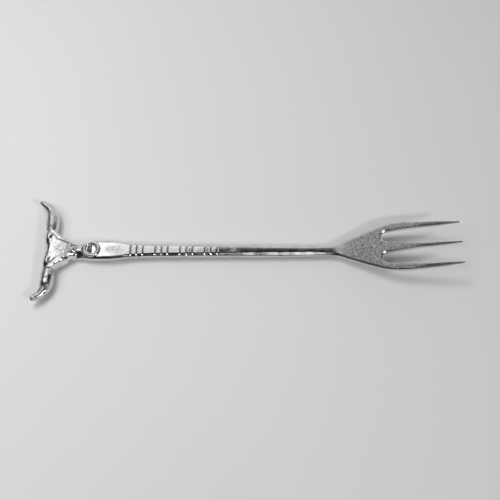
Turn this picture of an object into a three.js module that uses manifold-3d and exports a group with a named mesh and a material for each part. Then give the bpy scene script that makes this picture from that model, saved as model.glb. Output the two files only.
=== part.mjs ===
// Three-tined serving fork with a longhorn steer skull on the end of its handle.
// Millimetres. +X runs to the tine tips, +Z is the face of the fork, the flat back lies on z = 0.
import * as THREE from "three";
import { mergeVertices } from "three/addons/utils/BufferGeometryUtils.js";
import Module from "manifold-3d";

const wasm = await Module();
wasm.setup();

// ---- driving dimensions -------------------------------------------------------------------
const NECK_X = 52; // joint of handle and fork head
const SKULL_X = -112; // joint of handle and skull
const TIP_X = 140; // end of the tines
const FIT = 0.1; // clearance all round a tang, tongue or spigot in its socket
const BEYOND = 20; // cutting blocks and drills reach this far past the metal

// handle: half width and top of the crown along its length
const HANDLE_HALF_WIDTH = [[SKULL_X, 5.4], [-109.5, 5.5], [-104, 6.4], [-97, 6.8], [-90, 6.6],
  [-77, 5.2], [-62, 4.5], [-30, 4.15], [20, 3.95], [NECK_X, 3.5]];
const HANDLE_TOP = [[SKULL_X, 6.1], [-104, 6.8], [-90, 7.1], [-60, 6.9], [0, 6.6], [NECK_X, 6.2]];
const HEEL_X = 4; // where the flat underside ends and starts to rise
const NECK_UNDER = 1.9; // height of the underside at the neck
const HANDLE_CROWN = 0.3; // how far the edges of the top lie below its middle
const HANDLE_EDGE = 1.5; // chamfer along the upper edges
const HANDLE_LOWER_EDGE = 0.7; // chamfer along the lower edges

// twelve grooves round the top and sides of the grip, in four groups of three
const GROOVE_FIRST_X = -76.3;
const GROOVE_PITCH = 4.05;
const GROOVE_GROUP_PITCH = 16.35;
const GROOVE_GROUPS = 4;
const GROOVE_HALF_WIDTH = 0.8;
const GROOVE_DEPTH = 0.4;

// fork head: half width, face and thickness from the neck to the tips
const HEAD_HALF_WIDTH = [[NECK_X, 3.5], [58, 3.8], [65, 6.2], [72, 9.0], [82, 12.9],
  [89, 15.3], [96, 16.7], [104, 17.0], [114, 16.75], [127, 16.1], [TIP_X, 14.8]];
const HEAD_FACE = [[NECK_X, 6.2], [58, 6.4], [65, 7.25], [82, 9.9], [95, 12.4], [113, 15.2],
  [127, 17.3], [TIP_X, 19.2]];
const HEAD_THICKNESS = [[NECK_X, 4.3], [65, 4.1], [85, 4.0], [105, 3.8], [120, 3.1], [133, 1.9],
  [TIP_X, 0.9]];
const HEAD_EDGE = 0.9; // chamfer along the outline of the head

// the two slots between the tines: inner edge (at the middle tine) and outer edge
const SLOT_ROOT_X = 89;
const SLOT_ROOT_RADIUS = 3.6;
const SLOT_CENTRE_Y = 7.45;
const SLOT_INNER = [[SLOT_ROOT_X + 3.6, 3.85], [100, 3.0], [112, 1.85], [127, 1.25], [TIP_X, 0.45]];
const SLOT_OUTER = [[SLOT_ROOT_X + 3.6, 11.05], [100, 11.9], [112, 12.7], [127, 13.2], [TIP_X, 13.9]];

// tang of the fork head inside the handle
const TANG = { length: 14, halfWidth: 1.8, low: 2.9, high: 5.0 };

// skull: half width at the jaw line, half width of the face, height of the face
const SKULL_POLL_X = -135;
const SKULL_JAW = [[SKULL_POLL_X, 8.5], [-133.6, 11.3], [-131, 12.4], [-127, 12.8], [-125, 12.2],
  [-122.4, 10.6], [-118.8, 8.5], [-116.5, 6.9], [-114.3, 5.8], [SKULL_X, 5.35]];
const SKULL_FACE = [[SKULL_POLL_X, 5.5], [-132, 7.6], [-127, 7.6], [-122, 6.2], [-117.5, 4.8],
  [-114.5, 4.2], [SKULL_X, 3.7]];
const SKULL_TOP = [[SKULL_POLL_X, 5.5], [-133, 7.5], [-131, 8.7], [-128.5, 9.2], [-124, 9.1],
  [-119, 8.8], [-115.8, 8.3], [-113.6, 7.1], [SKULL_X, 5.7]];
const POLL_LOBE = { x: -130.6, y: 9.5, z: 4.7, rx: 4.3, ry: 7.5, rz: 5.0 };
const EYE = { x: -119.6, y: 7.8, z: 6.8, rx: 2.4, ry: 1.7, rz: 1.8 };
const NOSTRIL = { x: -114.1, y: 2.2, z: 8.0, rx: 1.4, ry: 0.75, rz: 0.9 };
const BROW_SLIT = { x: -126.4, y: 8.9, z: 9.3, rx: 2.4, ry: 0.6, rz: 0.9, turn: -0.9 };

// tongue of the skull inside the handle, pinned there by the rivet
const TONGUE = { length: 14, halfWidth: 3.0, low: 2.2, high: 4.6 };

// horns: centre line and radius from the spigot to the blunt tip
const HORN_SPIGOT = { radius: 2.9, from: 9.0 };
const HORN_BASE_Y = 14.3;
const HORN_LINE = [[-130.0, HORN_BASE_Y, 4.8, 4.7], [-129.9, 18.5, 4.8, 4.7], [-130.1, 22.5, 4.7, 4.45],
  [-130.8, 26.5, 4.6, 3.9], [-132.6, 30.0, 4.9, 3.15], [-135.1, 32.6, 5.4, 2.5],
  [-137.4, 34.5, 6.0, 2.0], [-139.2, 35.9, 6.6, 1.6]];
const HORN_ROUNDING = 0.93; // share of the horn's length where its tip starts to round off

// rivet through the handle, with its dished head inside a raised bezel
const RIVET_X = -102.2;
const SEAT_Z = 5.6;
const BEZEL = { outer: 5.5, inner: 3.75, height: 2.5 };
const SEAT_RADIUS = BEZEL.outer + 0.25; // round seat of the bezel in the handle
const RIVET = { head: 3.65, rim: 1.9, dish: 0.65, shank: 1.5, tail: 2.5, tailLow: 0.25 };
const BURR = { outer: 3.4, recess: 3.55, recessDepth: 1.7, thickness: 0.6 };

// ---- helpers ------------------------------------------------------------------------------
// Smooth curve through the given [x, value] points that doesn't overshoot between them.
function along(points) {
  const n = points.length;
  const slope = points.map(() => 0);
  const step = (i) => (points[i + 1][1] - points[i][1]) / (points[i + 1][0] - points[i][0]);
  for (let i = 1; i < n - 1; i += 1) {
    const a = step(i - 1);
    const b = step(i);
    slope[i] = a * b <= 0 ? 0 : (2 * a * b) / (a + b);
  }
  slope[0] = step(0);
  slope[n - 1] = step(n - 2);
  return (x) => {
    if (x <= points[0][0]) return points[0][1];
    if (x >= points[n - 1][0]) return points[n - 1][1];
    let i = 0;
    while (x > points[i + 1][0]) i += 1;
    const h = points[i + 1][0] - points[i][0];
    const t = (x - points[i][0]) / h;
    const s = 1 - t;
    return points[i][1] * s * s * (1 + 2 * t) + points[i + 1][1] * t * t * (3 - 2 * t)
      + h * slope[i] * t * s * s - h * slope[i + 1] * t * t * s;
  };
}

// Evenly spread numbers from a to b, both ends included.
function spread(a, b, count) {
  return Array.from({ length: count + 1 }, (_, i) => a + ((b - a) * i) / count);
}

// Closed body through rings of equal point count, with a flat cap at each end.
function loft(rings) {
  const n = rings[0].length;
  const pos = rings.flat().flatMap((p) => [p.x, p.y, p.z]);
  const index = [];
  for (let r = 0; r < rings.length - 1; r += 1) {
    for (let i = 0; i < n; i += 1) {
      const a = r * n + i;
      const b = r * n + ((i + 1) % n);
      index.push(a, b, a + n, b, b + n, a + n);
    }
  }
  for (const end of [0, rings.length - 1]) {
    const middle = rings[end].reduce((s, p) => s.add(p), new THREE.Vector3()).divideScalar(n);
    const centre = pos.length / 3;
    pos.push(middle.x, middle.y, middle.z);
    for (let i = 0; i < n; i += 1) {
      const a = end * n + i;
      const b = end * n + ((i + 1) % n);
      if (end === 0) index.push(centre, b, a);
      else index.push(centre, a, b);
    }
  }
  const g = new THREE.BufferGeometry();
  g.setAttribute("position", new THREE.Float32BufferAttribute(pos, 3));
  g.setIndex(index);
  return g;
}

// manifold-3d solid of a closed geometry, turned face out if its rings ran the other way.
function solid(geometry) {
  const g = geometry.clone();
  g.deleteAttribute("normal");
  g.deleteAttribute("uv");
  const m = mergeVertices(g, 1e-4);
  const triVerts = new Uint32Array(m.index.array);
  const vertProperties = m.attributes.position.array;
  const made = new wasm.Manifold(new wasm.Mesh({ numProp: 3, vertProperties, triVerts }));
  if (made.volume() > 0) return made;
  for (let i = 0; i < triVerts.length; i += 3) {
    [triVerts[i + 1], triVerts[i + 2]] = [triVerts[i + 2], triVerts[i + 1]];
  }
  return new wasm.Manifold(new wasm.Mesh({ numProp: 3, vertProperties, triVerts }));
}

function geometryOf(manifold) {
  const mesh = manifold.getMesh();
  const g = new THREE.BufferGeometry();
  g.setAttribute("position", new THREE.Float32BufferAttribute(mesh.vertProperties, 3));
  g.setIndex(new THREE.BufferAttribute(mesh.triVerts, 1));
  const flat = g.toNonIndexed();
  flat.computeVertexNormals();
  return flat;
}

function box(x0, x1, y0, y1, z0, z1) {
  const g = new THREE.BoxGeometry(x1 - x0, y1 - y0, z1 - z0);
  g.translate((x0 + x1) / 2, (y0 + y1) / 2, (z0 + z1) / 2);
  return solid(g);
}

// Turned body about a vertical axis at (x, 0), from a closed profile of [radius, z] points.
function turned(profile, x, segments = 32) {
  const g = new THREE.LatheGeometry(profile.map(([r, z]) => new THREE.Vector2(r, z)), segments);
  g.rotateX(Math.PI / 2);
  g.translate(x, 0, 0);
  return solid(g);
}

function ellipsoid({ x, y, z, rx, ry, rz, turn = 0 }, side, detail = 16) {
  const g = new THREE.SphereGeometry(1, detail, detail / 2);
  g.scale(rx, ry, rz);
  g.rotateZ(turn * side);
  g.translate(x, y * side, z);
  return solid(g);
}

// Cross-section of a bar: flat underside, chamfered edges, gently crowned top.
function barSection(x, halfWidth, top, under, edge, lowerEdge, crown) {
  const w = halfWidth;
  const e = Math.min(edge, w * 0.45);
  const shoulder = top - crown;
  const half = [
    [w - lowerEdge, under], [w - lowerEdge * 0.3, under + lowerEdge * 0.3],
    [w, under + lowerEdge], [w, shoulder - e * 0.85],
    [w - e * 0.28, shoulder - e * 0.28], [w - e, shoulder],
    [(w - e) * 0.55, top - crown * 0.3],
  ];
  const right = half.map(([y, z]) => new THREE.Vector3(x, y, z));
  const left = [...half].reverse().map(([y, z]) => new THREE.Vector3(x, -y, z));
  return [...right, new THREE.Vector3(x, 0, top), ...left];
}

// ---- handle -------------------------------------------------------------------------------
const handleWidth = along(HANDLE_HALF_WIDTH);
const handleTop = along(HANDLE_TOP);
const handleUnder = (x) => (NECK_UNDER * Math.max(0, x - HEEL_X)) / (NECK_X - HEEL_X);

const grooveCentres = Array.from({ length: GROOVE_GROUPS * 3 }, (_, i) => {
  const group = Math.floor(i / 3);
  return GROOVE_FIRST_X + group * GROOVE_GROUP_PITCH + (i % 3) * GROOVE_PITCH;
});

function grooveDepth(x) {
  const near = Math.min(...grooveCentres.map((c) => Math.abs(x - c)));
  if (near >= GROOVE_HALF_WIDTH) return 0;
  return GROOVE_DEPTH * (0.5 + 0.5 * Math.cos((Math.PI * near) / GROOVE_HALF_WIDTH));
}

function handleRing(x) {
  const d = grooveDepth(x);
  const w = handleWidth(x) - d;
  const top = handleTop(x) - d;
  return barSection(x, w, top, handleUnder(x), HANDLE_EDGE, HANDLE_LOWER_EDGE, HANDLE_CROWN);
}

const grooveStations = grooveCentres.flatMap((c) => spread(-1, 1, 4).map((t) => c + t * GROOVE_HALF_WIDTH));
const seatReach = BEZEL.outer + 1.3; // one plain stretch of the handle carries the rivet's seat
const handleStations = [SKULL_X, ...spread(RIVET_X - seatReach, RIVET_X + seatReach, 1),
  ...spread(RIVET_X + seatReach, -79, 7).slice(1), ...grooveStations, ...spread(-17, HEEL_X, 3),
  ...spread(HEEL_X, NECK_X, 8).slice(1)];

function makeHandle() {
  const g = loft(handleStations.map(handleRing));
  const seat = turned([[0, SEAT_Z], [SEAT_RADIUS, SEAT_Z], [SEAT_RADIUS, BEYOND], [0, BEYOND]],
    RIVET_X);
  const hole = turned([[0, -BEYOND], [RIVET.shank + FIT, -BEYOND], [RIVET.shank + FIT, BEYOND],
    [0, BEYOND]], RIVET_X);
  const recess = turned([[0, -BEYOND], [BURR.recess, -BEYOND], [BURR.recess, BURR.recessDepth],
    [0, BURR.recessDepth]], RIVET_X);
  const mortise = box(SKULL_X - 1, SKULL_X + TONGUE.length + FIT, -TONGUE.halfWidth - FIT,
    TONGUE.halfWidth + FIT, TONGUE.low - FIT, TONGUE.high + FIT);
  const socket = box(NECK_X - TANG.length - FIT, NECK_X + 1, -TANG.halfWidth - FIT,
    TANG.halfWidth + FIT, TANG.low - FIT, TANG.high + FIT);
  return solid(g).subtract(seat).subtract(hole).subtract(recess).subtract(mortise).subtract(socket);
}

// ---- fork head ----------------------------------------------------------------------------
const headWidth = along(HEAD_HALF_WIDTH);
const headFace = along(HEAD_FACE);
const headThickness = along(HEAD_THICKNESS);

function headRing(x) {
  const thickness = headThickness(x);
  const blend = Math.min(1, (x - NECK_X) / 14);
  const crown = HANDLE_CROWN * (1 - blend) + 0.12 * blend;
  const edge = Math.min(HANDLE_EDGE * (1 - blend) + HEAD_EDGE * blend, thickness * 0.4);
  const lower = Math.min(HANDLE_LOWER_EDGE, thickness * 0.25);
  return barSection(x, headWidth(x), headFace(x), headFace(x) - thickness, edge, lower, crown);
}

function slotCutter(side) {
  const inner = along(SLOT_INNER);
  const outer = along(SLOT_OUTER);
  const start = SLOT_ROOT_X + SLOT_ROOT_RADIUS;
  const stations = spread(start, TIP_X, 18);
  const arc = spread(Math.PI * 1.5, Math.PI * 0.5, 12).slice(1, -1)
    .map((a) => [start + SLOT_ROOT_RADIUS * Math.cos(a), SLOT_CENTRE_Y + SLOT_ROOT_RADIUS * Math.sin(a)]);
  const outline = [
    [TIP_X + 2, inner(TIP_X)],
    ...[...stations].reverse().map((x) => [x, inner(x)]),
    ...arc,
    ...stations.map((x) => [x, outer(x)]),
    [TIP_X + 2, outer(TIP_X)],
  ];
  const shape = new THREE.Shape(outline.map(([x, y]) => new THREE.Vector2(x, y * side)));
  const g = new THREE.ExtrudeGeometry(shape, { depth: 40, bevelEnabled: false });
  g.translate(0, 0, -10);
  return solid(g);
}

function makeForkHead() {
  const stations = [...spread(NECK_X, 90, 19), ...spread(90, TIP_X - 1, 28).slice(1), TIP_X];
  let body = solid(loft(stations.map(headRing)));
  const tang = box(NECK_X - TANG.length, NECK_X + 3, -TANG.halfWidth, TANG.halfWidth,
    TANG.low, TANG.high);
  body = body.add(tang);
  return body.subtract(slotCutter(1)).subtract(slotCutter(-1));
}

// ---- skull --------------------------------------------------------------------------------
const skullJaw = along(SKULL_JAW);
const skullFace = along(SKULL_FACE);
const skullTop = along(SKULL_TOP);

function skullRing(x) {
  const jaw = skullJaw(x);
  const face = skullFace(x);
  const top = skullTop(x);
  const half = [[jaw * 0.86, 0], [jaw * 0.97, 0.5], [jaw, top * 0.2], [jaw * 0.97, top * 0.46],
    [face + (jaw - face) * 0.52, top * 0.76], [face, top * 0.93], [face * 0.5, top]];
  const points = [
    ...half.map(([y, z]) => new THREE.Vector3(x, y, z)),
    new THREE.Vector3(x, 0, top * 1.02),
    ...[...half].reverse().map(([y, z]) => new THREE.Vector3(x, -y, z)),
    new THREE.Vector3(x, 0, 0),
  ];
  const ring = new THREE.CatmullRomCurve3(points, true, "centripetal").getPoints(30).slice(0, -1);
  return ring.map((p) => new THREE.Vector3(x, p.y, Math.max(0, p.z)));
}

function hornSocket(side) {
  const r = HORN_SPIGOT.radius + FIT;
  const g = new THREE.CylinderGeometry(r, r, BEYOND, 22);
  const base = HORN_LINE[0];
  g.translate(base[0], side * (HORN_SPIGOT.from - FIT + BEYOND / 2), base[2]);
  return solid(g);
}

// Flat the horn butts against, so that the lobe ends where the horn starts.
function hornFace(side) {
  const far = side * (HORN_BASE_Y - 0.05);
  const outer = side * 2 * BEYOND;
  return box(SKULL_POLL_X - BEYOND, SKULL_X, Math.min(far, outer), Math.max(far, outer), -BEYOND, BEYOND);
}

function makeSkull() {
  let body = solid(loft([...spread(SKULL_POLL_X, SKULL_X, 24)].map(skullRing)));
  for (const side of [1, -1]) body = body.add(ellipsoid(POLL_LOBE, side, 22));
  for (const side of [1, -1]) {
    body = body.subtract(ellipsoid(EYE, side)).subtract(ellipsoid(NOSTRIL, side, 12))
      .subtract(ellipsoid(BROW_SLIT, side, 12)).subtract(hornFace(side)).subtract(hornSocket(side));
  }
  body = body.subtract(box(SKULL_POLL_X - BEYOND, SKULL_X + BEYOND, -2 * BEYOND, 2 * BEYOND, -BEYOND, 0));
  const tongue = box(SKULL_X - 3, SKULL_X + TONGUE.length, -TONGUE.halfWidth, TONGUE.halfWidth,
    TONGUE.low, TONGUE.high);
  const pinHole = turned([[0, 0], [RIVET.shank + FIT, 0], [RIVET.shank + FIT, 8], [0, 8]], RIVET_X);
  return body.add(tongue).subtract(pinHole);
}

// ---- horns --------------------------------------------------------------------------------
function makeHorn(side) {
  const centres = HORN_LINE.map(([x, y, z]) => new THREE.Vector3(x, y, z));
  const line = new THREE.CatmullRomCurve3(centres, false, "centripetal");
  const last = HORN_LINE.length - 1;
  const radius = along(HORN_LINE.map((p, i) => [i / last, p[3]]));
  const rings = spread(0, 1, 20).map((t) => {
    const c = line.getPoint(t);
    const dir = t === 0 ? new THREE.Vector3(0, 1, 0) : line.getTangent(t);
    const across = new THREE.Vector3(0, 0, 1).cross(dir).normalize();
    const up = dir.clone().cross(across).normalize();
    const past = Math.max(0, t - HORN_ROUNDING) / (1 - HORN_ROUNDING);
    const r = radius(t) * Math.sqrt(1 - 0.8 * past);
    return spread(0, Math.PI * 2, 22).slice(0, -1).map((a) => {
      const flat = Math.sin(a) > 0 ? 0.96 : 0.98;
      const p = c.clone().addScaledVector(across, r * Math.cos(a))
        .addScaledVector(up, r * flat * Math.sin(a));
      return new THREE.Vector3(p.x, side * p.y, p.z);
    });
  });
  const horn = solid(loft(rings));
  const length = HORN_BASE_Y - HORN_SPIGOT.from + 2;
  const g = new THREE.CylinderGeometry(HORN_SPIGOT.radius, HORN_SPIGOT.radius, length, 22);
  const base = HORN_LINE[0];
  g.translate(base[0], side * (HORN_SPIGOT.from + length / 2), base[2]);
  return horn.add(solid(g));
}

// ---- rivet, bezel and burr ----------------------------------------------------------------
function makeBezel() {
  const middle = (BEZEL.outer + BEZEL.inner) / 2;
  const half = (BEZEL.outer - BEZEL.inner) / 2;
  const arc = spread(0, Math.PI, 8)
    .map((a) => [middle + half * Math.cos(a), SEAT_Z + BEZEL.height - half + half * Math.sin(a)]);
  return turned([[BEZEL.inner, SEAT_Z], [BEZEL.outer, SEAT_Z], ...arc, [BEZEL.inner, SEAT_Z]],
    RIVET_X, 36);
}

function makeRivet() {
  const rim = SEAT_Z + RIVET.rim;
  const dish = spread(0, 1, 7).map((t) => [RIVET.head * 0.9 * (1 - t),
    rim - RIVET.dish * (1 - (1 - t) ** 2)]);
  return turned([[0, RIVET.tailLow], [RIVET.tail * 0.8, RIVET.tailLow],
    [RIVET.tail, RIVET.tailLow + 0.4], [RIVET.tail, BURR.recessDepth - BURR.thickness],
    [RIVET.shank, BURR.recessDepth - BURR.thickness], [RIVET.shank, SEAT_Z],
    [RIVET.head, SEAT_Z], [RIVET.head, rim - 0.15], ...dish], RIVET_X, 36);
}

function makeBurr() {
  const low = BURR.recessDepth - BURR.thickness;
  const inner = RIVET.shank + FIT;
  return turned([[inner, low], [BURR.outer, low], [BURR.outer, BURR.recessDepth],
    [inner, BURR.recessDepth], [inner, low]], RIVET_X);
}

// ---- assembly -----------------------------------------------------------------------------
const polished = new THREE.MeshStandardMaterial({ color: 0xc9cacc, roughness: 0.22, metalness: 1 });
const cast = new THREE.MeshStandardMaterial({ color: 0xb4b5b6, roughness: 0.5, metalness: 1 });
const bright = new THREE.MeshStandardMaterial({ color: 0xd8d9da, roughness: 0.12, metalness: 1 });

const fork = new THREE.Group();
fork.name = "skull_serving_fork";

function place(name, body, material) {
  const mesh = new THREE.Mesh(geometryOf(body), material);
  mesh.name = name;
  fork.add(mesh);
}

place("fork_head", makeForkHead(), cast);
place("handle", makeHandle(), polished);
place("skull", makeSkull(), polished);
place("horn_left", makeHorn(1), polished);
place("horn_right", makeHorn(-1), polished);
place("rivet", makeRivet(), bright);
place("rivet_bezel", makeBezel(), polished);
place("back_burr", makeBurr(), cast);

// The origin is the middle of the fork's footprint, on the surface it lies on.
const bounds = new THREE.Box3().setFromObject(fork);
const middle = bounds.getCenter(new THREE.Vector3());
fork.position.set(-middle.x, -middle.y, -bounds.min.z);

export default fork;
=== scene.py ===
"""Serving fork with a longhorn skull finial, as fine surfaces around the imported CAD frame.

Shared dimensions and mesh helpers come first, then materials, the pieces, the studio and the camera.
"""
import math
import bpy
import numpy as np
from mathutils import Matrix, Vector
from mathutils.geometry import delaunay_2d_cdt


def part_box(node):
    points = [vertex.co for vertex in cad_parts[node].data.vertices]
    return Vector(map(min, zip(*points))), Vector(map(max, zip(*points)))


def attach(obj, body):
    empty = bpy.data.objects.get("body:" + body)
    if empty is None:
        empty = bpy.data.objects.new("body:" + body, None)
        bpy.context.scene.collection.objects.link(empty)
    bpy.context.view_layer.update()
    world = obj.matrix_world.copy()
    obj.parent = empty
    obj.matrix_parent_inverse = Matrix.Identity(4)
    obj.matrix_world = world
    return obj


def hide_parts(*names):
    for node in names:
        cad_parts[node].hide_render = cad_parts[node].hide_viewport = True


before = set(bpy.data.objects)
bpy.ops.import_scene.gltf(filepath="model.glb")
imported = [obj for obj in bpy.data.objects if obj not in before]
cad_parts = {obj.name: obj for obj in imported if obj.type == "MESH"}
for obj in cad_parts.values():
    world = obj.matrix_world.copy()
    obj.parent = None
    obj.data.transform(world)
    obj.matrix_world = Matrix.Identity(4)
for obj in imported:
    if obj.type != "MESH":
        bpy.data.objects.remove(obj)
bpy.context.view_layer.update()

MM = 0.001
SHARP_ANGLE = math.radians(50)  # edges sharper than this stay sharp in the shading

# ---- dimensions in millimetres; tables run along x, from the skull to the tips -------------
NECK_X = 52.0
SKULL_X = -112.0
TIP_X = 140.0
# added to an x here, it gives the frame's x, whose zero is the middle of the footprint
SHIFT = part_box("handle")[1][0] / MM - NECK_X

HANDLE_HALF_WIDTH = [(SKULL_X, 5.4), (-109.5, 5.5), (-104, 6.3), (-97, 6.75), (-90, 6.6), (-77, 5.2),
                     (-62, 4.5), (-30, 4.15), (20, 3.95), (NECK_X, 3.5)]
HANDLE_TOP = [(SKULL_X, 6.3), (-104, 6.8), (-90, 7.1), (-60, 6.9), (0, 6.6), (NECK_X, 6.2)]
HEEL_X = 4.0  # where the flat underside ends and starts to rise
NECK_UNDER = 1.9  # height of the underside at the neck
# how far the middle of the top stands above its edges
HANDLE_CROWN = [(SKULL_X, 1.5), (-109, 1.3), (-105, 0.5), (-99, 0.14), (-30, 0.12), (0, 0.06),
                (NECK_X, 0.06)]
# the chamfer's reach in from the side, and down it
HANDLE_EDGE = [(SKULL_X, 1.3), (-90, 1.3), (-70, 1.6), (-20, 1.8), (10, 2.3), (40, 2.2), (NECK_X, 1.7)]
EDGE_DROP = [(SKULL_X, 1.0), (-30, 1.0), (10, 1.25), (40, 1.2), (NECK_X, 1.0)]
# roundings of the bar's corners: at the foot, and below and above the chamfer
FOOT_ROUNDING = 0.9
SIDE_ROUNDING = 0.55
SHOULDER_ROUNDING = 0.6

FIRST_GROOVE_X = -76.3
GROUP_PITCH = 16.35
GROOVE_PITCH = 4.05
GROOVES = [FIRST_GROOVE_X + GROUP_PITCH * group + GROOVE_PITCH * i for group in range(4) for i in range(3)]
GROOVE_HALF_WIDTH = 0.8
GROOVE_DEPTH = 0.34
GROOVED_FROM, GROOVED_TO = -80, -16  # the stretch that gets the closest stations

HEAD_HALF_WIDTH = [(NECK_X, 3.5), (58, 3.8), (65, 6.2), (72, 9.0), (82, 12.9), (89, 15.3), (96, 16.7),
                   (104, 17.0), (114, 16.75), (127, 16.1), (TIP_X, 14.8)]
HEAD_REACH = 17.0  # the largest half width
HEAD_FACE = [(NECK_X, 6.2), (58, 6.4), (65, 7.25), (82, 9.9), (95, 12.4), (113, 15.2), (127, 17.3),
             (TIP_X, 19.2)]
HEAD_THICKNESS = [(NECK_X, 4.3), (65, 4.1), (85, 4.0), (105, 3.8), (120, 3.1), (133, 1.9), (TIP_X, 0.9)]
HEAD_NORMAL = (-0.16, 0.0, 0.987)  # about square to the face, which climbs towards the tips
SLOT_ROOT_X = 89.0
SLOT_ROOT_RADIUS = 3.6
SLOT_CENTRE_Y = 7.45
SLOT_START = SLOT_ROOT_X + SLOT_ROOT_RADIUS
SLOT_INNER = [(SLOT_START, 3.85), (100, 3.0), (112, 1.85), (127, 1.25), (TIP_X, 0.45)]
SLOT_OUTER = [(SLOT_START, 11.05), (100, 11.9), (112, 12.7), (127, 13.2), (TIP_X, 13.9)]
TIP_START = TIP_X - 1.3  # where the tines' round points begin
TINE_HALF_WIDTH = [(NECK_X, 3.2), (84, 3.2), (96, 2.2), (112, 1.7), (127, 1.25), (TIP_START, 0.44),
                   (TIP_X, 0.4)]
PLATE_SPACING = 0.55  # between the points that fill the head's face and back

RIVET_X = -102.2
SEAT_Z = 5.6
SEAT_CLEARANCE = 0.1  # the seat of the bezel is cut this much deeper
SEAT_RADIUS = 5.55
RIVET_RIM_Z = SEAT_Z + 1.9
RIVET_UNDER_Z = SEAT_Z - 0.09
RIVET_HEAD_RADIUS = 3.68
RIVET_SHANK_RADIUS = 1.45
RIVET_TAIL_Z = 0.25
DISH_RADIUS = 3.3
DISH_DEPTH = 0.62
DISH_WALL = 0.14  # share of the dish's radius that its steep wall takes
BEZEL_RADIUS = 4.63
BEZEL_HALF_WIDTH = 0.87
BEZEL_SHOULDER_Z = SEAT_Z + 1.6
BEZEL_ROUNDING = 0.88
BURR_RECESS_RADIUS = 3.55
BURR_RECESS_DEPTH = 1.7
BURR_RADIUS = 3.4
BURR_BORE = 1.6
BURR_LOW_Z = 1.1

# the left horn's middle line, from the skull to the tip: x, y, z and radius
HORN_LINE = [(-130.2, 11.4, 4.7, 3.3), (-130.0, 14.5, 4.7, 3.95), (-129.9, 18.5, 4.75, 4.45),
             (-130.1, 22.5, 4.7, 4.4), (-130.8, 26.5, 4.6, 3.9), (-132.6, 30.0, 4.9, 3.15),
             (-135.1, 32.6, 5.4, 2.5), (-137.3, 34.3, 6.0, 1.95), (-139.0, 35.6, 6.6, 1.5)]
HORN_TIP_ROUNDING = 1.1
HORN_SQUARENESS = 2.25  # 2 would be a round section


# ---- mesh helpers --------------------------------------------------------------------------
def along(points):
    """Smooth curve through (x, value) points that doesn't overshoot, as a function of an array of x."""
    xs, vs = np.array(points, float).T
    step = np.diff(vs) / np.diff(xs)
    slope = np.empty_like(vs)
    slope[0], slope[-1] = step[0], step[-1]
    a, b = step[:-1], step[1:]
    same = a * b > 0
    slope[1:-1] = np.where(same, 2 * a * b / np.where(same, a + b, 1), 0)

    def value(x):
        x = np.clip(np.asarray(x, float), xs[0], xs[-1])
        i = np.clip(np.searchsorted(xs, x, side="right") - 1, 0, len(xs) - 2)
        h = xs[i + 1] - xs[i]
        t = (x - xs[i]) / h
        s = 1 - t
        return (vs[i] * s * s * (1 + 2 * t) + vs[i + 1] * t * t * (3 - 2 * t)
                + h * slope[i] * t * s * s - h * slope[i + 1] * t * t * s)

    return value


def ripple(points, wavelength, seed, waves=14):
    """Smooth random undulation between about -1 and 1 at each point, with the given wavelength in mm."""
    rng = np.random.default_rng(seed)
    p = np.asarray(points, float)
    total = np.zeros(p.shape[:-1])
    for _ in range(waves):
        direction = rng.normal(size=p.shape[-1])
        direction *= rng.uniform(0.6, 1.5) / (np.linalg.norm(direction) + 1e-9)
        total += np.sin(p @ direction * 2 * math.pi / wavelength + rng.uniform(0, 2 * math.pi))
    return total / math.sqrt(waves)


def smooth01(t):
    t = np.clip(t, 0, 1)
    return t * t * (3 - 2 * t)


def add_piece(name, verts_mm, faces, material, nodes):
    """A smooth-shaded piece that rides on the one body and stands for its CAD nodes."""
    mesh = bpy.data.meshes.new(name)
    verts = (np.asarray(verts_mm, float) + (SHIFT, 0, 0)) * MM
    mesh.from_pydata(verts.tolist(), [], [list(map(int, f)) for f in faces])
    mesh.validate()
    mesh.shade_smooth()
    mesh.set_sharp_from_angle(angle=SHARP_ANGLE)
    mesh.materials.append(material)
    obj = bpy.data.objects.new(name, mesh)
    bpy.context.scene.collection.objects.link(obj)
    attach(obj, "root")
    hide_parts(*nodes)
    return obj


def loft(rings, cap=True):
    """Vertices and faces of a closed body through an array of rings (n, m, 3)."""
    n, m = rings.shape[:2]
    verts = rings.reshape(-1, 3)
    i = np.arange(n - 1)[:, None] * m
    j = np.arange(m)[None, :]
    k = (j + 1) % m
    quads = np.stack([i + j, i + k, i + m + k, i + m + j], axis=-1).reshape(-1, 4)
    faces = [tuple(q) for q in quads.tolist()]
    if cap:
        faces.append(tuple(range(m))[::-1])
        faces.append(tuple(range((n - 1) * m, n * m)))
    return verts, faces


def lathe(profile, segments, x):
    """Rings of a body turned about the vertical axis at (x, 0), one for each (radius, z) point."""
    profile = np.asarray(profile, float)
    angle = np.linspace(0, 2 * math.pi, segments, endpoint=False)
    ring = np.stack([np.cos(angle), np.sin(angle)], axis=-1)
    xy = profile[:, None, 0, None] * ring[None]
    z = np.repeat(profile[:, None, 1], segments, axis=1)
    return np.concatenate([xy + (x, 0), z[..., None]], axis=-1)


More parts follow.
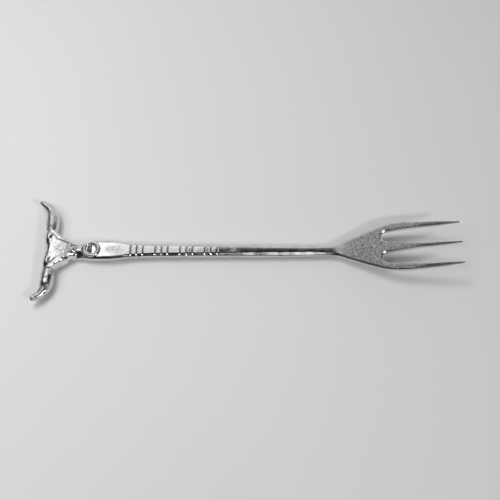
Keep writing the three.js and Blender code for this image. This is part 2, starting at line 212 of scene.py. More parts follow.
# ---- materials -----------------------------------------------------------------------------
class Nodes:
    """Short hand for building one material's node tree on the object's own coordinates."""

    def __init__(self, name):
        self.material = bpy.data.materials.new(name)
        self.material.use_nodes = True
        self.tree = self.material.node_tree
        self.shader = self.tree.nodes["Principled BSDF"]
        coordinates = self.tree.nodes.new("ShaderNodeTexCoord")
        self.place, self.facing = coordinates.outputs["Object"], coordinates.outputs["Normal"]

    def node(self, kind, **inputs):
        made = self.tree.nodes.new(kind)
        for key, value in inputs.items():
            socket = made.inputs[key.replace("_", " ")]
            if isinstance(value, bpy.types.NodeSocket):
                self.tree.links.new(value, socket)
            else:
                socket.default_value = value
        return made

    def noise(self, scale, detail=3.0, roughness=0.55, stretch=None):
        place = self.place
        if stretch:
            place = self.node("ShaderNodeMapping", Vector=place, Scale=stretch).outputs["Vector"]
        made = self.node("ShaderNodeTexNoise", Vector=place, Scale=scale, Detail=detail, Roughness=roughness)
        return made.outputs["Fac"]

    def near(self, centre, reach):
        """1 around a centre (mm), fading to 0 at an ellipsoid's reach (mm)."""
        moved = self.tree.nodes.new("ShaderNodeVectorMath")
        moved.operation = "SUBTRACT"
        self.tree.links.new(self.place, moved.inputs[0])
        moved.inputs[1].default_value = [(c + shift) * MM for c, shift in zip(centre, (SHIFT, 0, 0))]
        scaled = self.tree.nodes.new("ShaderNodeVectorMath")
        scaled.operation = "DIVIDE"
        self.tree.links.new(moved.outputs[0], scaled.inputs[0])
        scaled.inputs[1].default_value = [r * MM for r in reach]
        length = self.tree.nodes.new("ShaderNodeVectorMath")
        length.operation = "LENGTH"
        self.tree.links.new(scaled.outputs[0], length.inputs[0])
        return self.remap(length.outputs["Value"], 0.45, 1.0, 1.0, 0.0)

    def blend(self, a, b, factor):
        made = self.tree.nodes.new("ShaderNodeMix")
        made.data_type = "RGBA"
        self.tree.links.new(factor, made.inputs["Factor"])
        colours = [socket for socket in made.inputs if socket.type == "RGBA"]
        self.tree.links.new(a, colours[0])
        self.tree.links.new(b, colours[1])
        return next(socket for socket in made.outputs if socket.type == "RGBA")

    def remap(self, value, low, high, to_low, to_high):
        made = self.tree.nodes.new("ShaderNodeMapRange")
        self.tree.links.new(value, made.inputs["Value"])
        for key, number in zip(("From Min", "From Max", "To Min", "To Max"), (low, high, to_low, to_high)):
            made.inputs[key].default_value = number
        made.interpolation_type = "SMOOTHSTEP"
        return made.outputs["Result"]

    def maths(self, operation, a, b):
        made = self.tree.nodes.new("ShaderNodeMath")
        made.operation = operation
        for socket, value in zip(made.inputs, (a, b)):
            if isinstance(value, bpy.types.NodeSocket):
                self.tree.links.new(value, socket)
            else:
                socket.default_value = value
        return made.outputs[0]

    def ramp(self, value, stops):
        made = self.tree.nodes.new("ShaderNodeValToRGB")
        self.tree.links.new(value, made.inputs["Fac"])
        elements = made.color_ramp.elements
        while len(elements) < len(stops):
            elements.new(0.5)
        for element, (place, grey) in zip(elements, stops):
            element.position = place
            element.color = (grey, grey, grey, 1) if isinstance(grey, (int, float)) else (*grey, 1)
        return made.outputs["Color"]

    def bump(self, height, strength, distance, normal=None):
        made = self.node("ShaderNodeBump", Height=height, Strength=strength, Distance=distance)
        if normal is not None:
            self.tree.links.new(normal, made.inputs["Normal"])
        return made.outputs["Normal"]

    def set(self, **inputs):
        for key, value in inputs.items():
            socket = self.shader.inputs[key.replace("_", " ")]
            if isinstance(value, bpy.types.NodeSocket):
                self.tree.links.new(value, socket)
            else:
                socket.default_value = value
        return self.material


def polished_metal(name, bright=0.80, rough=0.10, wave=0.35, wave_scale=260.0, streak=0.22, scuff=None):
    """Hand-polished cast alloy: clear reflections that wobble a little, buffing streaks and faint haze."""
    n = Nodes(name)
    haze = n.noise(180.0, 4.0)
    streaks = n.noise(300.0, 3.0, stretch=(0.16, 1.0, 1.0))
    fine = n.noise(2200.0, 3.0)
    swell = n.noise(wave_scale, 2.0)
    tone = n.maths("MULTIPLY", n.maths("ADD", haze, streaks), 0.5)
    colour = n.ramp(tone, [(0.36, bright * 0.80), (0.60, bright)])
    roughness = n.remap(haze, 0.3, 0.75, rough * 0.7, rough * 1.7)
    if scuff:
        worn = n.maths("MULTIPLY", n.near(*scuff), n.remap(n.noise(900.0, 4.0, 0.7), 0.38, 0.58, 0.0, 1.0))
        roughness = n.maths("ADD", roughness, n.maths("MULTIPLY", worn, 0.30))
        colour = n.blend(colour, n.ramp(fine, [(0.4, 0.50), (0.6, 0.72)]), n.maths("MULTIPLY", worn, 0.45))
    normal = n.bump(swell, wave, 0.0004)
    normal = n.bump(streaks, streak, 0.0002, normal)
    normal = n.bump(fine, 0.02, 0.00005, normal)
    return n.set(Metallic=1.0, Base_Color=colour, Roughness=roughness, Normal=normal)


def cast_metal(name):
    """Sand-cast alloy: grainy speckled skin on the face, buffed towards the neck and along the tines."""
    n = Nodes(name)
    x = n.node("ShaderNodeSeparateXYZ", Vector=n.place).outputs["X"]
    near_neck = n.remap(x, (54 + SHIFT) * MM, (70 + SHIFT) * MM, 0.0, 1.0)
    on_tines = n.remap(x, (96 + SHIFT) * MM, (120 + SHIFT) * MM, 1.0, 0.12)
    turned = n.tree.nodes.new("ShaderNodeVectorMath")
    turned.operation = "DOT_PRODUCT"
    n.tree.links.new(n.facing, turned.inputs[0])
    turned.inputs[1].default_value = HEAD_NORMAL
    on_face = n.remap(turned.outputs["Value"], 0.93, 0.98, 0.0, 1.0)
    sandy = n.maths("MULTIPLY", n.maths("MULTIPLY", near_neck, on_tines), on_face)
    grain = n.noise(1500.0, 5.0, 0.7)
    lumps = n.noise(520.0, 3.0)
    colour_sandy = n.ramp(grain, [(0.40, 0.13), (0.49, 0.50), (0.57, 0.92)])
    colour_buffed = n.ramp(lumps, [(0.3, 0.62), (0.7, 0.78)])
    colour = n.blend(colour_buffed, colour_sandy, sandy)
    roughness = n.maths("ADD", n.maths("MULTIPLY", sandy, 0.26), n.remap(lumps, 0.35, 0.7, 0.12, 0.22))
    height = n.maths("MULTIPLY", n.maths("ADD", grain, n.maths("MULTIPLY", lumps, 0.6)),
                     n.maths("ADD", n.maths("MULTIPLY", sandy, 0.85), 0.15))
    normal = n.bump(height, 0.9, 0.00022)
    return n.set(Metallic=1.0, Base_Color=colour, Roughness=roughness, Normal=normal)


# the worn patches, as centre and reach in mm
GRIP_SCUFF = ((-86.5, -0.3, 7.0), (9.0, 3.8, 3.0))
NOSE_SCUFF = ((-120.5, 0.0, 9.0), (8.5, 5.5, 3.5))

POLISHED = polished_metal("polished_alloy", wave=0.15, streak=0.12, scuff=GRIP_SCUFF)
SKULL_METAL = polished_metal("skull_alloy", bright=0.80, rough=0.12, wave=0.30, wave_scale=250.0,
                             scuff=NOSE_SCUFF)
HORN_METAL = polished_metal("horn_alloy", bright=0.80, rough=0.19, wave=0.35, wave_scale=280.0)
SATIN_HORN_METAL = polished_metal("horn_alloy_satin", bright=0.80, rough=0.26, wave=0.35, wave_scale=280.0)
RIVET_METAL = polished_metal("rivet_metal", bright=0.84, rough=0.08, wave=0.25, wave_scale=500.0)
CAST = cast_metal("sand_cast_alloy")


# ---- handle --------------------------------------------------------------------------------
def corner(before, at, after, radius, steps):
    """Points of a rounded corner, for arrays of stations: (stations, steps, 2)."""
    to_before = before - at
    to_after = after - at
    len_before = np.linalg.norm(to_before, axis=-1, keepdims=True)
    len_after = np.linalg.norm(to_after, axis=-1, keepdims=True)
    a = at + to_before / len_before * np.minimum(radius, len_before * 0.45)
    b = at + to_after / len_after * np.minimum(radius, len_after * 0.45)
    t = np.linspace(0, 1, steps)[None, :, None]
    return (1 - t) ** 2 * a[:, None] + 2 * t * (1 - t) * at[:, None] + t ** 2 * b[:, None]


def bar_rings(x, half_width, top, under, edge, drop, crown):
    """Rings of a bar with rounded chamfers, upright sides and a crowned top."""
    side = top - crown
    p = {
        "foot": np.stack([half_width, under], -1),
        "side": np.stack([half_width, side - drop], -1),
        "shoulder": np.stack([half_width - edge, side], -1),
    }
    mirror = np.array([-1.0, 1.0])
    near_top = np.stack([half_width * 0.2, side + crown * 0.9], -1)
    right = [
        corner(p["foot"] * mirror, p["foot"], p["side"], FOOT_ROUNDING, 7),
        corner(p["foot"], p["side"], p["shoulder"], SIDE_ROUNDING, 6),
        corner(p["side"], p["shoulder"], near_top, SHOULDER_ROUNDING, 6),
    ]
    right = np.concatenate(right, axis=1)
    last = right[:, -1, :]
    y = last[:, None, 0] * np.linspace(1, -1, 26)[None, 1:-1]
    share = (y / last[:, None, 0]) ** 2
    z = last[:, None, 1] * share + top[:, None] * (1 - share)
    crest = np.stack([y, z], -1)
    left = right[:, ::-1, :] * mirror
    base_y = right[:, :1, 0] * np.linspace(-1, 1, 42)[None, 1:-1]
    base = np.stack([base_y, np.broadcast_to(right[:, :1, 1], base_y.shape)], -1)
    section = np.concatenate([right, crest, left, base], axis=1)
    xs = np.broadcast_to(x[:, None, None], section.shape[:2] + (1,))
    return np.concatenate([xs, section], axis=-1)


def groove_depth(x):
    """How deep the grooves are cut at each x, as a smooth dip round each groove's middle."""
    near = np.min(np.abs(x[:, None] - np.array(GROOVES)[None]), axis=1)
    t = np.clip(near / GROOVE_HALF_WIDTH, 0, 1)
    return GROOVE_DEPTH * (0.5 + 0.5 * np.cos(math.pi * t))


def make_handle():
    x = np.concatenate([np.linspace(SKULL_X, GROOVED_FROM, 190, endpoint=False),
                        np.linspace(GROOVED_FROM, GROOVED_TO, 640, endpoint=False),
                        np.linspace(GROOVED_TO, NECK_X, 240)])
    line = x[:, None]
    d = groove_depth(x)
    wobble = ripple(line, 9.0, 3)
    half_width = along(HANDLE_HALF_WIDTH)(x) - 0.5 * d + 0.05 * ripple(line, 14.0, 5)
    top = along(HANDLE_TOP)(x) - d - 0.04 + 0.04 * ripple(line, 16.0, 7)
    edge = along(HANDLE_EDGE)(x) + 0.07 * wobble
    under = NECK_UNDER * np.maximum(0, x - HEEL_X) / (NECK_X - HEEL_X)
    rings = bar_rings(x, half_width, top, under, edge, along(EDGE_DROP)(x), along(HANDLE_CROWN)(x))
    # the rivet's bezel sits in a round seat, which opens into a saddle towards the skull
    radius = np.hypot(rings[..., 0] - RIVET_X, rings[..., 1])
    spread = 0.25 + 2.2 * smooth01((RIVET_X - 2.5 - rings[..., 0]) / 2.5)
    bowl = SEAT_Z - SEAT_CLEARANCE + 1.5 * smooth01((radius - SEAT_RADIUS) / spread)
    z = rings[..., 2]
    z = np.where(z > SEAT_Z - 1, np.minimum(z, bowl), z)
    # the burr and the rivet's tail lie in a round recess of the flat back
    recess = BURR_RECESS_DEPTH * (1 - smooth01((radius - BURR_RECESS_RADIUS) / 0.2))
    rings[..., 2] = np.where(z < BURR_RECESS_DEPTH, np.maximum(z, recess), z)
    verts, faces = loft(rings)
    return add_piece("handle_bar", verts, faces, POLISHED, ["handle"])


# ---- fork head -----------------------------------------------------------------------------
def head_outline():
    """Closed plan outline of the head, from the middle tine's tip round to the neck and back."""
    width, inner, outer = along(HEAD_HALF_WIDTH), along(SLOT_INNER), along(SLOT_OUTER)

    def tip(centre, half, count=11):
        angle = np.linspace(-math.pi / 2, math.pi / 2, count)
        return np.stack([TIP_START + (TIP_X - TIP_START) * np.cos(angle), centre + half * np.sin(angle)], -1)

    run = np.linspace(NECK_X, TIP_START, 190)
    slot_run = np.linspace(SLOT_START, TIP_START, 100)
    angle = np.linspace(-math.pi / 2, math.pi / 2, 25)[1:-1]
    root = np.stack([SLOT_START - SLOT_ROOT_RADIUS * np.cos(angle),
                     SLOT_CENTRE_Y - SLOT_ROOT_RADIUS * np.sin(angle)], -1)
    w, o, i = width(TIP_START), outer(TIP_START), inner(TIP_START)
    upper = np.concatenate([
        tip(0.0, i, 11)[6:],
        np.stack([slot_run[::-1], inner(slot_run[::-1])], -1)[1:],
        root[::-1],
        np.stack([slot_run, outer(slot_run)], -1),
        tip((w + o) / 2, (w - o) / 2)[1:-1],
        np.stack([run[::-1], width(run[::-1])], -1),
        np.array([(NECK_X, 1.4), (NECK_X, 0.7)]),
    ])
    lower = upper[::-1] * (1, -1)
    middle_tip = np.array([[TIP_X, 0.0]])
    neck = np.array([[NECK_X, 0.0]])
    loop = np.concatenate([middle_tip, upper, neck, lower])
    keep = np.linalg.norm(loop - np.roll(loop, 1, axis=0), axis=1) > 1e-4
    return loop[keep]


def make_fork_head():
    loop = head_outline()
    ahead, behind = np.roll(loop, -1, axis=0), np.roll(loop, 1, axis=0)
    tangent = ahead - behind
    tangent /= np.linalg.norm(tangent, axis=1, keepdims=True)
    inward = np.stack([-tangent[:, 1], tangent[:, 0]], -1)
    area = 0.5 * np.sum(loop[:, 0] * ahead[:, 1] - ahead[:, 0] * loop[:, 1])
    if area < 0:
        inward = -inward
    face, thickness = along(HEAD_FACE), along(HEAD_THICKNESS)
    x = loop[:, 0]
    tine_half = along(TINE_HALF_WIDTH)(x)
    outer_edge = np.abs(loop[:, 1]) > along(HEAD_HALF_WIDTH)(x) - 0.05
    # how far the edges are rounded, round the slots and outside; the neck's end face stays square
    slot_radius = np.minimum(1.6 + 0.6 * (1 - smooth01((x - SLOT_START) / 8)),
                             tine_half * (0.8 - 0.12 * smooth01((x - 118) / 12)))
    radius = np.where(outer_edge, tine_half * 0.62, slot_radius)
    at_neck = (x < NECK_X + 0.05) & (np.abs(loop[:, 1]) < 3.4)
    radius = np.where(at_neck, 0.06, radius)
    inward[at_neck] = (1.0, 0.0)
    neck_corner = (x < NECK_X + 0.05) & ~at_neck
    inward[neck_corner] = np.column_stack([np.zeros(neck_corner.sum()), -np.sign(loop[neck_corner, 1])])
    like_handle = np.where(at_neck, 0, 1 - smooth01((x - NECK_X) / 14))
    handle_edge = HANDLE_EDGE[-1][1]

    def top_z(p):
        blend = smooth01((p[:, 0] - NECK_X) / 16)
        crown = 0.25 * blend * np.clip(np.abs(p[:, 1]) / HEAD_REACH, 0, 1) ** 2
        crown += HANDLE_CROWN[-1][1] * (1 - blend) * np.clip(np.abs(p[:, 1]) / 1.9, 0, 1) ** 2
        return face(p[:, 0]) - crown

    def under_z(p):
        return face(p[:, 0]) - thickness(p[:, 0])

    rows = []
    phi = np.linspace(math.pi / 2, 0, 7)
    for a in phi:
        p = loop + inward * (radius * (1 - math.cos(a)))[:, None]
        rows.append(np.column_stack([p, under_z(p) + radius * 0.7 * (1 - math.sin(a))]))
    for a in phi[::-1]:
        t = a / (math.pi / 2)
        across = (1 - like_handle) * radius * (1 - math.cos(a)) + like_handle * handle_edge * t
        drop = (1 - like_handle) * radius * 0.7 * (1 - math.sin(a)) + like_handle * EDGE_DROP[-1][1] * (1 - t)
        p = loop + inward * across[:, None]
        rows.append(np.column_stack([p, top_z(p) - drop]))
    # three more rows up the side
    low, high = rows[6], rows[7]
    rows[7:7] = [low + (high - low) * t for t in (0.25, 0.5, 0.75)]
    wall = np.stack(rows)
    n_rows, n = wall.shape[:2]

    # plan triangulation inside the rounded edge, shared by the face and the back
    edge_loop = wall[-1][:, :2]
    gx, gy = np.meshgrid(np.arange(NECK_X, TIP_X, PLATE_SPACING),
                         np.arange(-HEAD_REACH, HEAD_REACH + 0.01, PLATE_SPACING))
    gx = gx + (np.arange(gx.shape[0])[:, None] % 2) * PLATE_SPACING / 2
    grid = np.stack([gx.ravel(), gy.ravel()], -1)
    nearest = np.min(np.linalg.norm(grid[:, None] - edge_loop[None, ::2], axis=-1), axis=1)
    grid = grid[nearest > PLATE_SPACING * 0.75]
    points = [Vector(p) for p in edge_loop.tolist()] + [Vector(p) for p in grid.tolist()]
    border = [(i, (i + 1) % n) for i in range(n)]
    out_verts, _, out_faces, _, _, _ = delaunay_2d_cdt(points, border, [], 1, 1e-6)
    plan = np.array([(v.x, v.y) for v in out_verts])

    verts = [wall.reshape(-1, 3)]
    faces = []
    i = np.arange(n_rows - 1)[:, None] * n
    j = np.arange(n)[None]
    k = (j + 1) % n
    faces += [tuple(q) for q in np.stack([i + j, i + k, i + n + k, i + n + j], -1).reshape(-1, 4).tolist()]

    def sheet(base_row, height, flip):
        start = sum(len(v) for v in verts)
        index = {}
        extra = []
        for v in range(len(plan)):
            if v < n and np.allclose(plan[v], edge_loop[v], atol=1e-5):
                index[v] = base_row * n + v
            else:
                index[v] = start + len(extra)
                extra.append(v)
        p = plan[extra]
        verts.append(np.column_stack([p, height(p)]))
        for tri in out_faces:
            ids = [index[v] for v in tri]
            faces.append(tuple(ids[::-1] if flip else ids))

    sheet(0, under_z, True)
    sheet(n_rows - 1, top_z, False)
    verts = np.concatenate(verts)
    # the cast skin is uneven; the neck and the tines are buffed nearly smooth
    sandy = smooth01((verts[:, 0] - 58) / 12) * (1 - 0.75 * smooth01((verts[:, 0] - 92) / 18))
    verts[:, 2] += (0.03 * ripple(verts, 2.0, 21) + 0.02 * ripple(verts, 6.0, 22)) * sandy
    verts[:, 2] -= 0.02
    return add_piece("fork_head_casting", verts, faces, CAST, ["fork_head"])


# ---- horns ---------------------------------------------------------------------------------
def make_horn(side, name, node):
    """The left horn, along HORN_LINE, for a side of 1, or its mirror image for a side of -1."""
    centres = np.array([p[:3] for p in HORN_LINE])
    radii = np.array([p[3] for p in HORN_LINE])
    chord = np.concatenate([[0], np.cumsum(np.linalg.norm(np.diff(centres, axis=0), axis=1))])
    t = np.linspace(0, chord[-1], 150)
    line = np.stack([along(list(zip(chord, centres[:, i])))(t) for i in range(3)], -1)
    radius = along(list(zip(chord, radii)))(t)
    end = np.clip((t - (chord[-1] - HORN_TIP_ROUNDING)) / HORN_TIP_ROUNDING, 0, 1)
    radius = radius * np.sqrt(np.clip(1 - 0.92 * end ** 2, 0.02, 1))
    tangent = np.gradient(line, axis=0)
    tangent /= np.linalg.norm(tangent, axis=1, keepdims=True)
    across = np.cross(tangent, (0, 0, 1.0))
    across /= np.linalg.norm(across, axis=1, keepdims=True)
    up = np.cross(across, tangent)
    angle = np.linspace(0, 2 * math.pi, 96, endpoint=False)
    c, s = np.cos(angle), np.sin(angle)
    power = 2 / HORN_SQUARENESS
    y = np.sign(c) * np.abs(c) ** power
    z = np.sign(s) * np.abs(s) ** power * np.where(s > 0, 0.97, 0.98)
    rings = (line[:, None] + across[:, None] * (radius[:, None] * y)[..., None]
             + up[:, None] * (radius[:, None] * z)[..., None])
    bump = 0.07 * ripple(rings, 7.0, 31 + side) + 0.03 * ripple(rings, 2.4, 35 + side)
    bump = bump * smooth01((t - 1) / 3)[:, None]
    centre = line[:, None]
    out = rings - centre
    rings = centre + out * (1 + bump / np.maximum(radius[:, None], 1))[..., None]
    rings[..., 1] *= side
    if side < 0:
        rings = rings[:, ::-1]
    verts, faces = loft(rings)
    faces = [f[::-1] for f in faces]
    metal = SATIN_HORN_METAL if side > 0 else HORN_METAL
    return add_piece(name, verts, faces, metal, [node])


# ---- skull ---------------------------------------------------------------------------------
def blend_min(a, b, k):
    """Smaller of two fields, with a rounded join about k wide."""
    h = np.clip(0.5 + 0.5 * (b - a) / k, 0, 1)
    return b * (1 - h) + a * h - k * h * (1 - h)


def blend_max(a, b, k):
    """Larger of two fields, with a rounded join about k wide."""
    return -blend_min(-a, -b, k)


def ellipsoid(p, centre, radii, turn=0.0):
    """About the distance from points to an ellipsoid, turned about the vertical."""
    q = p - centre
    if turn:
        c, s = math.cos(turn), math.sin(turn)
        q = np.stack([q[..., 0] * c + q[..., 1] * s, -q[..., 0] * s + q[..., 1] * c, q[..., 2]], -1)
    r = np.array(radii, float)
    k0 = np.linalg.norm(q / r, axis=-1)
    k1 = np.linalg.norm(q / (r * r), axis=-1)
    return k0 * (k0 - 1) / np.maximum(k1, 1e-6)


def capsule(p, a, b, ra, rb):
    """About the distance from points to a round bar from a to b that tapers from radius ra to rb."""
    a, b = np.array(a, float), np.array(b, float)
    d = b - a
    t = np.clip(((p - a) @ d) / (d @ d), 0, 1)
    return np.linalg.norm(p - a - t[..., None] * d, axis=-1) - (ra + (rb - ra) * t)


# half widths of the jaw and of the ridge where the face turns down, and the height of the face
JAW = along([(-135, 13.6), (-132, 14.9), (-129, 15.2), (-127, 14.7), (-125, 13.0), (-122.6, 10.9),
             (-118.8, 8.7), (-116.5, 7.0), (-114.3, 5.8), (SKULL_X, 5.35)])
RIDGE = along([(-135, 12.4), (-132, 13.3), (-129, 13.5), (-127, 12.0), (-125.2, 9.9), (-122.8, 7.7),
               (-120.2, 6.0), (-117.5, 4.4), (-115, 3.3), (SKULL_X, 3.2)])
CREST = along([(-135, 2.6), (-134, 5.0), (-133, 6.7), (-132, 7.9), (-131, 8.6), (-130, 9.0), (-128.5, 9.2),
               (-124, 9.15), (-119, 8.9), (-115.8, 8.4), (-114.2, 7.6), (-113, 6.7), (SKULL_X, 6.0)])
JAW_Z = 1.4  # height of the face at the jaw
POLL_X = -133.0

SKULL_VOXEL = 0.26
SPIKE_LIMIT = 0.16

# The skull's forms, mirrored in y, each with the width of its blend. An ellipsoid has centre, radii and
# turn in radians; a capsule has two ends and their radii.
SKULL_LUMPS = [
    (ellipsoid, ((-130.6, 8.4, 4.5), (3.5, 6.7, 5.15), 0.06), 1.1),  # lobe of the poll, holds the horn
    (capsule, ((-123.5, 9.6, 2.8), (-115.6, 5.4, 2.6), 1.9, 1.3), 0.9),  # cheek
    (ellipsoid, ((-114.9, 0.0, 5.5), (2.6, 4.4, 2.8), 0.0), 0.6),  # muzzle
]
SKULL_HOLLOWS = [
    (ellipsoid, ((-120.0, 7.3, 7.7), (3.1, 1.3, 1.7), -0.42), 0.3),  # eye socket
    (capsule, ((-124.9, 6.6, 9.35), (-116.4, 2.9, 8.95), 0.5, 0.65), 0.25),  # valley beside the nose
    (capsule, ((-128.0, 10.4, 9.4), (-124.9, 6.6, 9.35), 0.4, 0.5), 0.25),  # valley behind the brow
    (ellipsoid, ((-113.7, 2.1, 7.9), (1.3, 0.7, 0.9), 0.2), 0.3),  # nostril
    (ellipsoid, ((-135.4, 0.0, 8.4), (4.0, 1.3, 3.6), 0.0), 0.8),  # notch between the lobes
]


def skull_field(p):
    """Less than 0 inside the skull: a face that turns down to the jaw over a flat back, with its forms."""
    x, y, z = p[..., 0], np.abs(p[..., 1]), p[..., 2]
    q = np.stack([x, y, z], -1)
    jaw, ridge, crest = JAW(x), RIDGE(x), CREST(x)
    s = (y - ridge) / np.maximum(jaw - ridge, 1.0)
    fall = np.clip(s, 0, 1)
    height = crest - (crest - JAW_Z) * (0.22 * fall + 0.78 * fall ** 4)
    height = height - np.clip(s - 1, 0, None) * (jaw - ridge) * 3.0
    body = (z - height) / (1 + 1.3 * fall)
    body = blend_max(body, x - SKULL_X, 0.25)
    body = blend_max(body, POLL_X - x, 0.8)
    for form, measures, width in SKULL_LUMPS:
        body = blend_min(body, form(q, *measures), width)
    for form, measures, width in SKULL_HOLLOWS:
        body = blend_max(body, -form(q, *measures), width)
    return blend_max(body, -z, 0.35)


def settle(points, field, steps):
    """Points walked onto the zero surface of a field."""
    eps = 0.02
    for _ in range(steps):
        f = field(points)
        grad = np.stack([field(points + np.eye(3)[i] * eps) - field(points - np.eye(3)[i] * eps)
                         for i in range(3)], -1) / (2 * eps)
        norm = np.sum(grad * grad, axis=-1, keepdims=True)
        step = f[..., None] * grad / np.maximum(norm, 0.05)
        points = points - np.clip(step, -0.5, 0.5)
    return points


def remeshed(verts, faces, voxel_mm, smooth):
    """A closed mesh made again by voxels, as vertices and faces in millimetres."""
    mesh = bpy.data.meshes.new("work")
    mesh.from_pydata((np.asarray(verts) * MM).tolist(), [], [list(map(int, f)) for f in faces])
    obj = bpy.data.objects.new("work", mesh)
    bpy.context.scene.collection.objects.link(obj)
    mod = obj.modifiers.new("voxels", "REMESH")
    mod.mode = "VOXEL"
    mod.voxel_size = voxel_mm * MM
    ease = obj.modifiers.new("ease", "SMOOTH")
    ease.iterations = smooth
    depsgraph = bpy.context.evaluated_depsgraph_get()
    done = obj.evaluated_get(depsgraph).to_mesh()
    out = np.empty(len(done.vertices) * 3)
    done.vertices.foreach_get("co", out)
    polys = [tuple(p.vertices) for p in done.polygons]
    obj.evaluated_get(depsgraph).to_mesh_clear()
    bpy.data.objects.remove(obj)
    bpy.data.meshes.remove(mesh)
    return out.reshape(-1, 3) / MM, polys


def without_spikes(verts, faces, limit_mm):
    """Vertices further than a limit from the middle of their neighbours are drawn back to it."""
    quads = np.array([f for f in faces if len(f) == 4])
    edges = np.concatenate([np.stack([quads[:, i], quads[:, (i + 1) % 4]], -1) for i in range(4)])
    edges = np.unique(np.sort(edges, axis=1), axis=0)
    ends = np.concatenate([edges, edges[:, ::-1]])
    count = np.bincount(ends[:, 0], minlength=len(verts))[:, None]
    for _ in range(12):
        middle = np.stack([np.bincount(ends[:, 0], verts[ends[:, 1], i], len(verts)) for i in range(3)], -1)
        middle = middle / np.maximum(count, 1)
        stray = (np.linalg.norm(verts - middle, axis=1, keepdims=True) > limit_mm) & (count > 0)
        verts = np.where(stray, middle, verts)
    return verts


def make_skull():
    # start from a loft near the final surface, walk it onto the field, remesh it evenly and walk it again
    x = np.linspace(-136.0, SKULL_X + 0.05, 90)
    angle = np.linspace(0, 2 * math.pi, 140, endpoint=False)
    half = np.maximum(JAW(x) + 1.5, 2.0)
    tall = CREST(x) + 1.0
    rings = np.stack([np.broadcast_to(x[:, None], (len(x), len(angle))),
                      half[:, None] * np.cos(angle)[None],
                      tall[:, None] * (0.5 + 0.5 * np.sin(angle)[None])], -1)
    verts, faces = loft(rings)
    verts = settle(verts, skull_field, 10)
    verts, faces = remeshed(verts, faces, SKULL_VOXEL, 2)
    verts = without_spikes(settle(verts, skull_field, 8), faces, SPIKE_LIMIT)
    # the cast skin is uneven, apart from the flat back
    uneven = 0.035 * ripple(verts, 3.6, 41) + 0.012 * ripple(verts, 1.5, 42)
    uneven = uneven * smooth01(verts[:, 2] - 0.3)
    verts = verts + uneven[:, None] * np.array([0.3, 0.3, 1.0])
    verts[:, 2] = np.maximum(verts[:, 2], 0.0)
    return add_piece("skull_casting", verts, faces, SKULL_METAL, ["skull"])


# ---- rivet, bezel and burr -----------------------------------------------------------------
def turned_ring(name, profile, segments, node):
    """A ring of rivet metal, turned from a profile whose end joins its start."""
    rings = lathe(profile, segments, RIVET_X)
    verts, faces = loft(np.concatenate([rings, rings[:1]]), cap=False)
    return add_piece(name, verts, faces, RIVET_METAL, [node])


def make_bezel():
    a = np.linspace(0, math.pi, 22)
    rise = BEZEL_ROUNDING * np.clip(np.sin(a), 0, 1) ** 0.7
    arc = np.column_stack([BEZEL_RADIUS + BEZEL_HALF_WIDTH * np.cos(a), BEZEL_SHOULDER_Z + rise])
    foot = [(BEZEL_RADIUS - BEZEL_HALF_WIDTH, SEAT_Z), (BEZEL_RADIUS + BEZEL_HALF_WIDTH, SEAT_Z)]
    return turned_ring("rivet_bezel_ring", np.concatenate([foot, arc]), 160, "rivet_bezel")


def make_rivet():
    t = np.linspace(0, 1, 26)
    dish = np.column_stack([DISH_RADIUS * (1 - t), RIVET_RIM_Z - DISH_DEPTH * smooth01(t / DISH_WALL)])
    dish[-1, 0] = 0.001
    shank_and_rim = np.array([
        (RIVET_SHANK_RADIUS, BURR_LOW_Z), (RIVET_SHANK_RADIUS, RIVET_UNDER_Z),
        (RIVET_HEAD_RADIUS, RIVET_UNDER_Z), (RIVET_HEAD_RADIUS, RIVET_RIM_Z - 0.25),
        (3.6, RIVET_RIM_Z - 0.08), (3.46, RIVET_RIM_Z - 0.01),
    ])
    tail = np.array([(0.001, RIVET_TAIL_Z), (2.0, RIVET_TAIL_Z), (2.42, 0.5), (2.5, 0.8), (2.5, BURR_LOW_Z)])
    rings = lathe(np.concatenate([tail, shank_and_rim, dish]), 160, RIVET_X)
    # the dish is uneven, and its floor climbs towards the skull
    across = (RIVET_X - rings[..., 0]) / DISH_RADIUS
    radius = np.hypot(rings[..., 0] - RIVET_X, rings[..., 1])
    in_dish = (rings[..., 2] > SEAT_Z + 0.8) & (radius < DISH_RADIUS + 0.01)
    ramp = RIVET_RIM_Z - DISH_DEPTH * (1 - np.clip(across + 0.1, 0, 1))
    lumps = (0.006 + 0.03 * np.clip(across, 0, 1)) * ripple(rings, 1.5, 51, 24)
    rings[..., 2] = np.where(in_dish, np.maximum(rings[..., 2], ramp) + lumps, rings[..., 2])
    verts, faces = loft(rings)
    return add_piece("rivet_dished", verts, faces, RIVET_METAL, ["rivet"])


def make_burr():
    profile = [(BURR_BORE, BURR_LOW_Z), (3.25, BURR_LOW_Z), (BURR_RADIUS, 1.25),
               (BURR_RADIUS, BURR_RECESS_DEPTH), (BURR_BORE, BURR_RECESS_DEPTH)]
    return turned_ring("back_burr_washer", profile, 96, "back_burr")


# ---- studio --------------------------------------------------------------------------------
# The room as the metal sees it. Each patch has a direction, the angles in degrees at which its fade
# starts and ends, its brightness and its tint.
ROOM_DARK = 0.03
ROOM_PATCHES = [
    ((0.10, 0.95, 0.22), 30.0, 55.0, 0.63, (1.0, 1.0, 1.0)),  # pale wall behind
    ((0.97, 0.10, 0.12), 12.0, 30.0, 0.45, (1.0, 0.99, 0.99)),  # pale wall to the right
    ((0.30, -0.50, 0.81), 10.0, 21.0, 1.05, (1.0, 1.0, 1.0)),  # reflector in front, to the right
    ((-0.75, -0.55, 0.30), 8.0, 30.0, 0.16, (1.0, 1.0, 1.0)),  # dim corner, front left
    ((-0.88, 0.40, 0.22), 8.0, 20.0, 0.40, (1.0, 1.0, 1.0)),  # pale wall to the left
]
WHITE = (1.0, 1.0, 1.0)
CENTRE = (0, 0, 0)
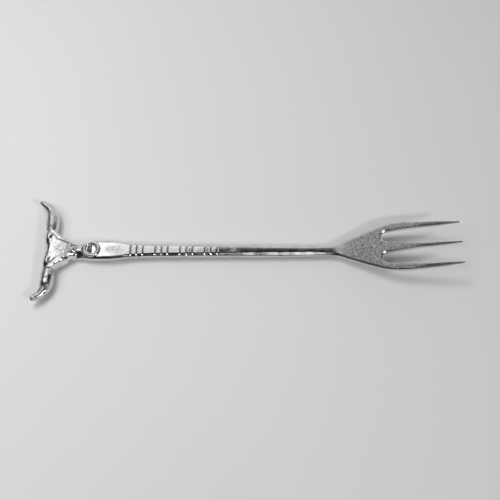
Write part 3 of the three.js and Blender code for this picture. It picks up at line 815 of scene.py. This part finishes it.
# Square lamps, in metres: name, place, target, size, radiance, colour, whether polished metal mirrors it.
LAMPS = [
    ("softbox", (-0.34, 0.38, 0.80), (-0.34, 0.38, 0), 0.56, 0.80, WHITE, True),
    ("softbox_core", (-0.35, 0.37, 0.79), (-0.35, 0.37, 0), 0.26, 0.60, WHITE, True),
    ("key_lamp", (-0.34, 0.30, 0.80), CENTRE, 0.33, 8.3, (1.0, 1.0, 0.975), False),
    ("fill_lamp", (0.68, -0.59, 0.76), CENTRE, 0.12, 72.0, (1.0, 0.955, 0.99), True),
    ("side_lamp", (-0.45, -0.05, 0.50), CENTRE, 0.40, 2.9, WHITE, False),
]
FLOOR_HALF_SIZE = 3.0

CAMERA_ELEVATION = math.radians(65.5)
CAMERA_DISTANCE = 0.560
CAMERA_TARGET = Vector((0.0021, 0.0026, 0.0))
CAMERA_LENS = 60.4
SENSOR_WIDTH = 36.0


def aim(obj, eye, target):
    obj.location = eye
    obj.rotation_euler = (Vector(target) - Vector(eye)).to_track_quat("-Z", "Y").to_euler()


def make_floor():
    mesh = bpy.data.meshes.new("floor")
    r = FLOOR_HALF_SIZE
    mesh.from_pydata([(-r, -r, 0), (r, -r, 0), (r, r, 0), (-r, r, 0)], [], [(0, 1, 2, 3)])
    floor = bpy.data.objects.new("floor", mesh)
    bpy.context.scene.collection.objects.link(floor)
    n = Nodes("pale_floor")
    colour = n.ramp(n.noise(3.0, 2.0), [(0.3, (0.69, 0.689, 0.69)), (0.7, (0.71, 0.709, 0.71))])
    mesh.materials.append(n.set(Base_Color=colour, Roughness=0.75, Metallic=0.0))


def area_light(name, place, target, size, radiance, colour, in_metal):
    data = bpy.data.lights.new(name, "AREA")
    data.shape = "SQUARE"
    data.size = size
    data.energy = radiance * math.pi * size * size
    data.color = colour
    obj = bpy.data.objects.new(name, data)
    bpy.context.scene.collection.objects.link(obj)
    obj.visible_glossy = in_metal
    aim(obj, place, target)


def make_world():
    """The dim room with its pale patches, as seen in the metal."""
    world = bpy.data.worlds.new("studio")
    world.use_nodes = True
    tree = world.node_tree
    direction = tree.nodes.new("ShaderNodeTexCoord").outputs["Generated"]
    total = None
    for centre, inner, outer, brightness, tint in ROOM_PATCHES:
        dot = tree.nodes.new("ShaderNodeVectorMath")
        dot.operation = "DOT_PRODUCT"
        tree.links.new(direction, dot.inputs[0])
        dot.inputs[1].default_value = Vector(centre).normalized()
        fade = tree.nodes.new("ShaderNodeMapRange")
        fade.interpolation_type = "SMOOTHSTEP"
        tree.links.new(dot.outputs["Value"], fade.inputs["Value"])
        fade.inputs["From Min"].default_value = math.cos(math.radians(outer))
        fade.inputs["From Max"].default_value = math.cos(math.radians(inner))
        glow = tree.nodes.new("ShaderNodeVectorMath")
        glow.operation = "SCALE"
        glow.inputs[0].default_value = [c * brightness for c in tint]
        tree.links.new(fade.outputs["Result"], glow.inputs["Scale"])
        if total is None:
            total = glow.outputs[0]
        else:
            both = tree.nodes.new("ShaderNodeVectorMath")
            both.operation = "ADD"
            tree.links.new(total, both.inputs[0])
            tree.links.new(glow.outputs[0], both.inputs[1])
            total = both.outputs[0]
    dim = tree.nodes.new("ShaderNodeVectorMath")
    dim.operation = "ADD"
    tree.links.new(total, dim.inputs[0])
    dim.inputs[1].default_value = (ROOM_DARK,) * 3
    tree.links.new(dim.outputs[0], tree.nodes["Background"].inputs["Color"])
    bpy.context.scene.world = world


def make_studio():
    make_floor()
    for lamp in LAMPS:
        area_light(*lamp)
    make_world()
    bpy.context.scene.view_settings.view_transform = "Standard"


def make_camera():
    data = bpy.data.cameras.new("camera")
    data.sensor_width = SENSOR_WIDTH
    data.lens = CAMERA_LENS
    data.clip_start = 0.01
    camera = bpy.data.objects.new("camera", data)
    bpy.context.scene.collection.objects.link(camera)
    direction = Vector((0, -math.cos(CAMERA_ELEVATION), math.sin(CAMERA_ELEVATION)))
    aim(camera, CAMERA_TARGET + CAMERA_DISTANCE * direction, CAMERA_TARGET)
    bpy.context.scene.camera = camera


make_camera()
make_studio()
make_handle()
make_fork_head()
make_horn(1, "horn_left_casting", "horn_left")
make_horn(-1, "horn_right_casting", "horn_right")
make_skull()
make_rivet()
make_bezel()
make_burr()
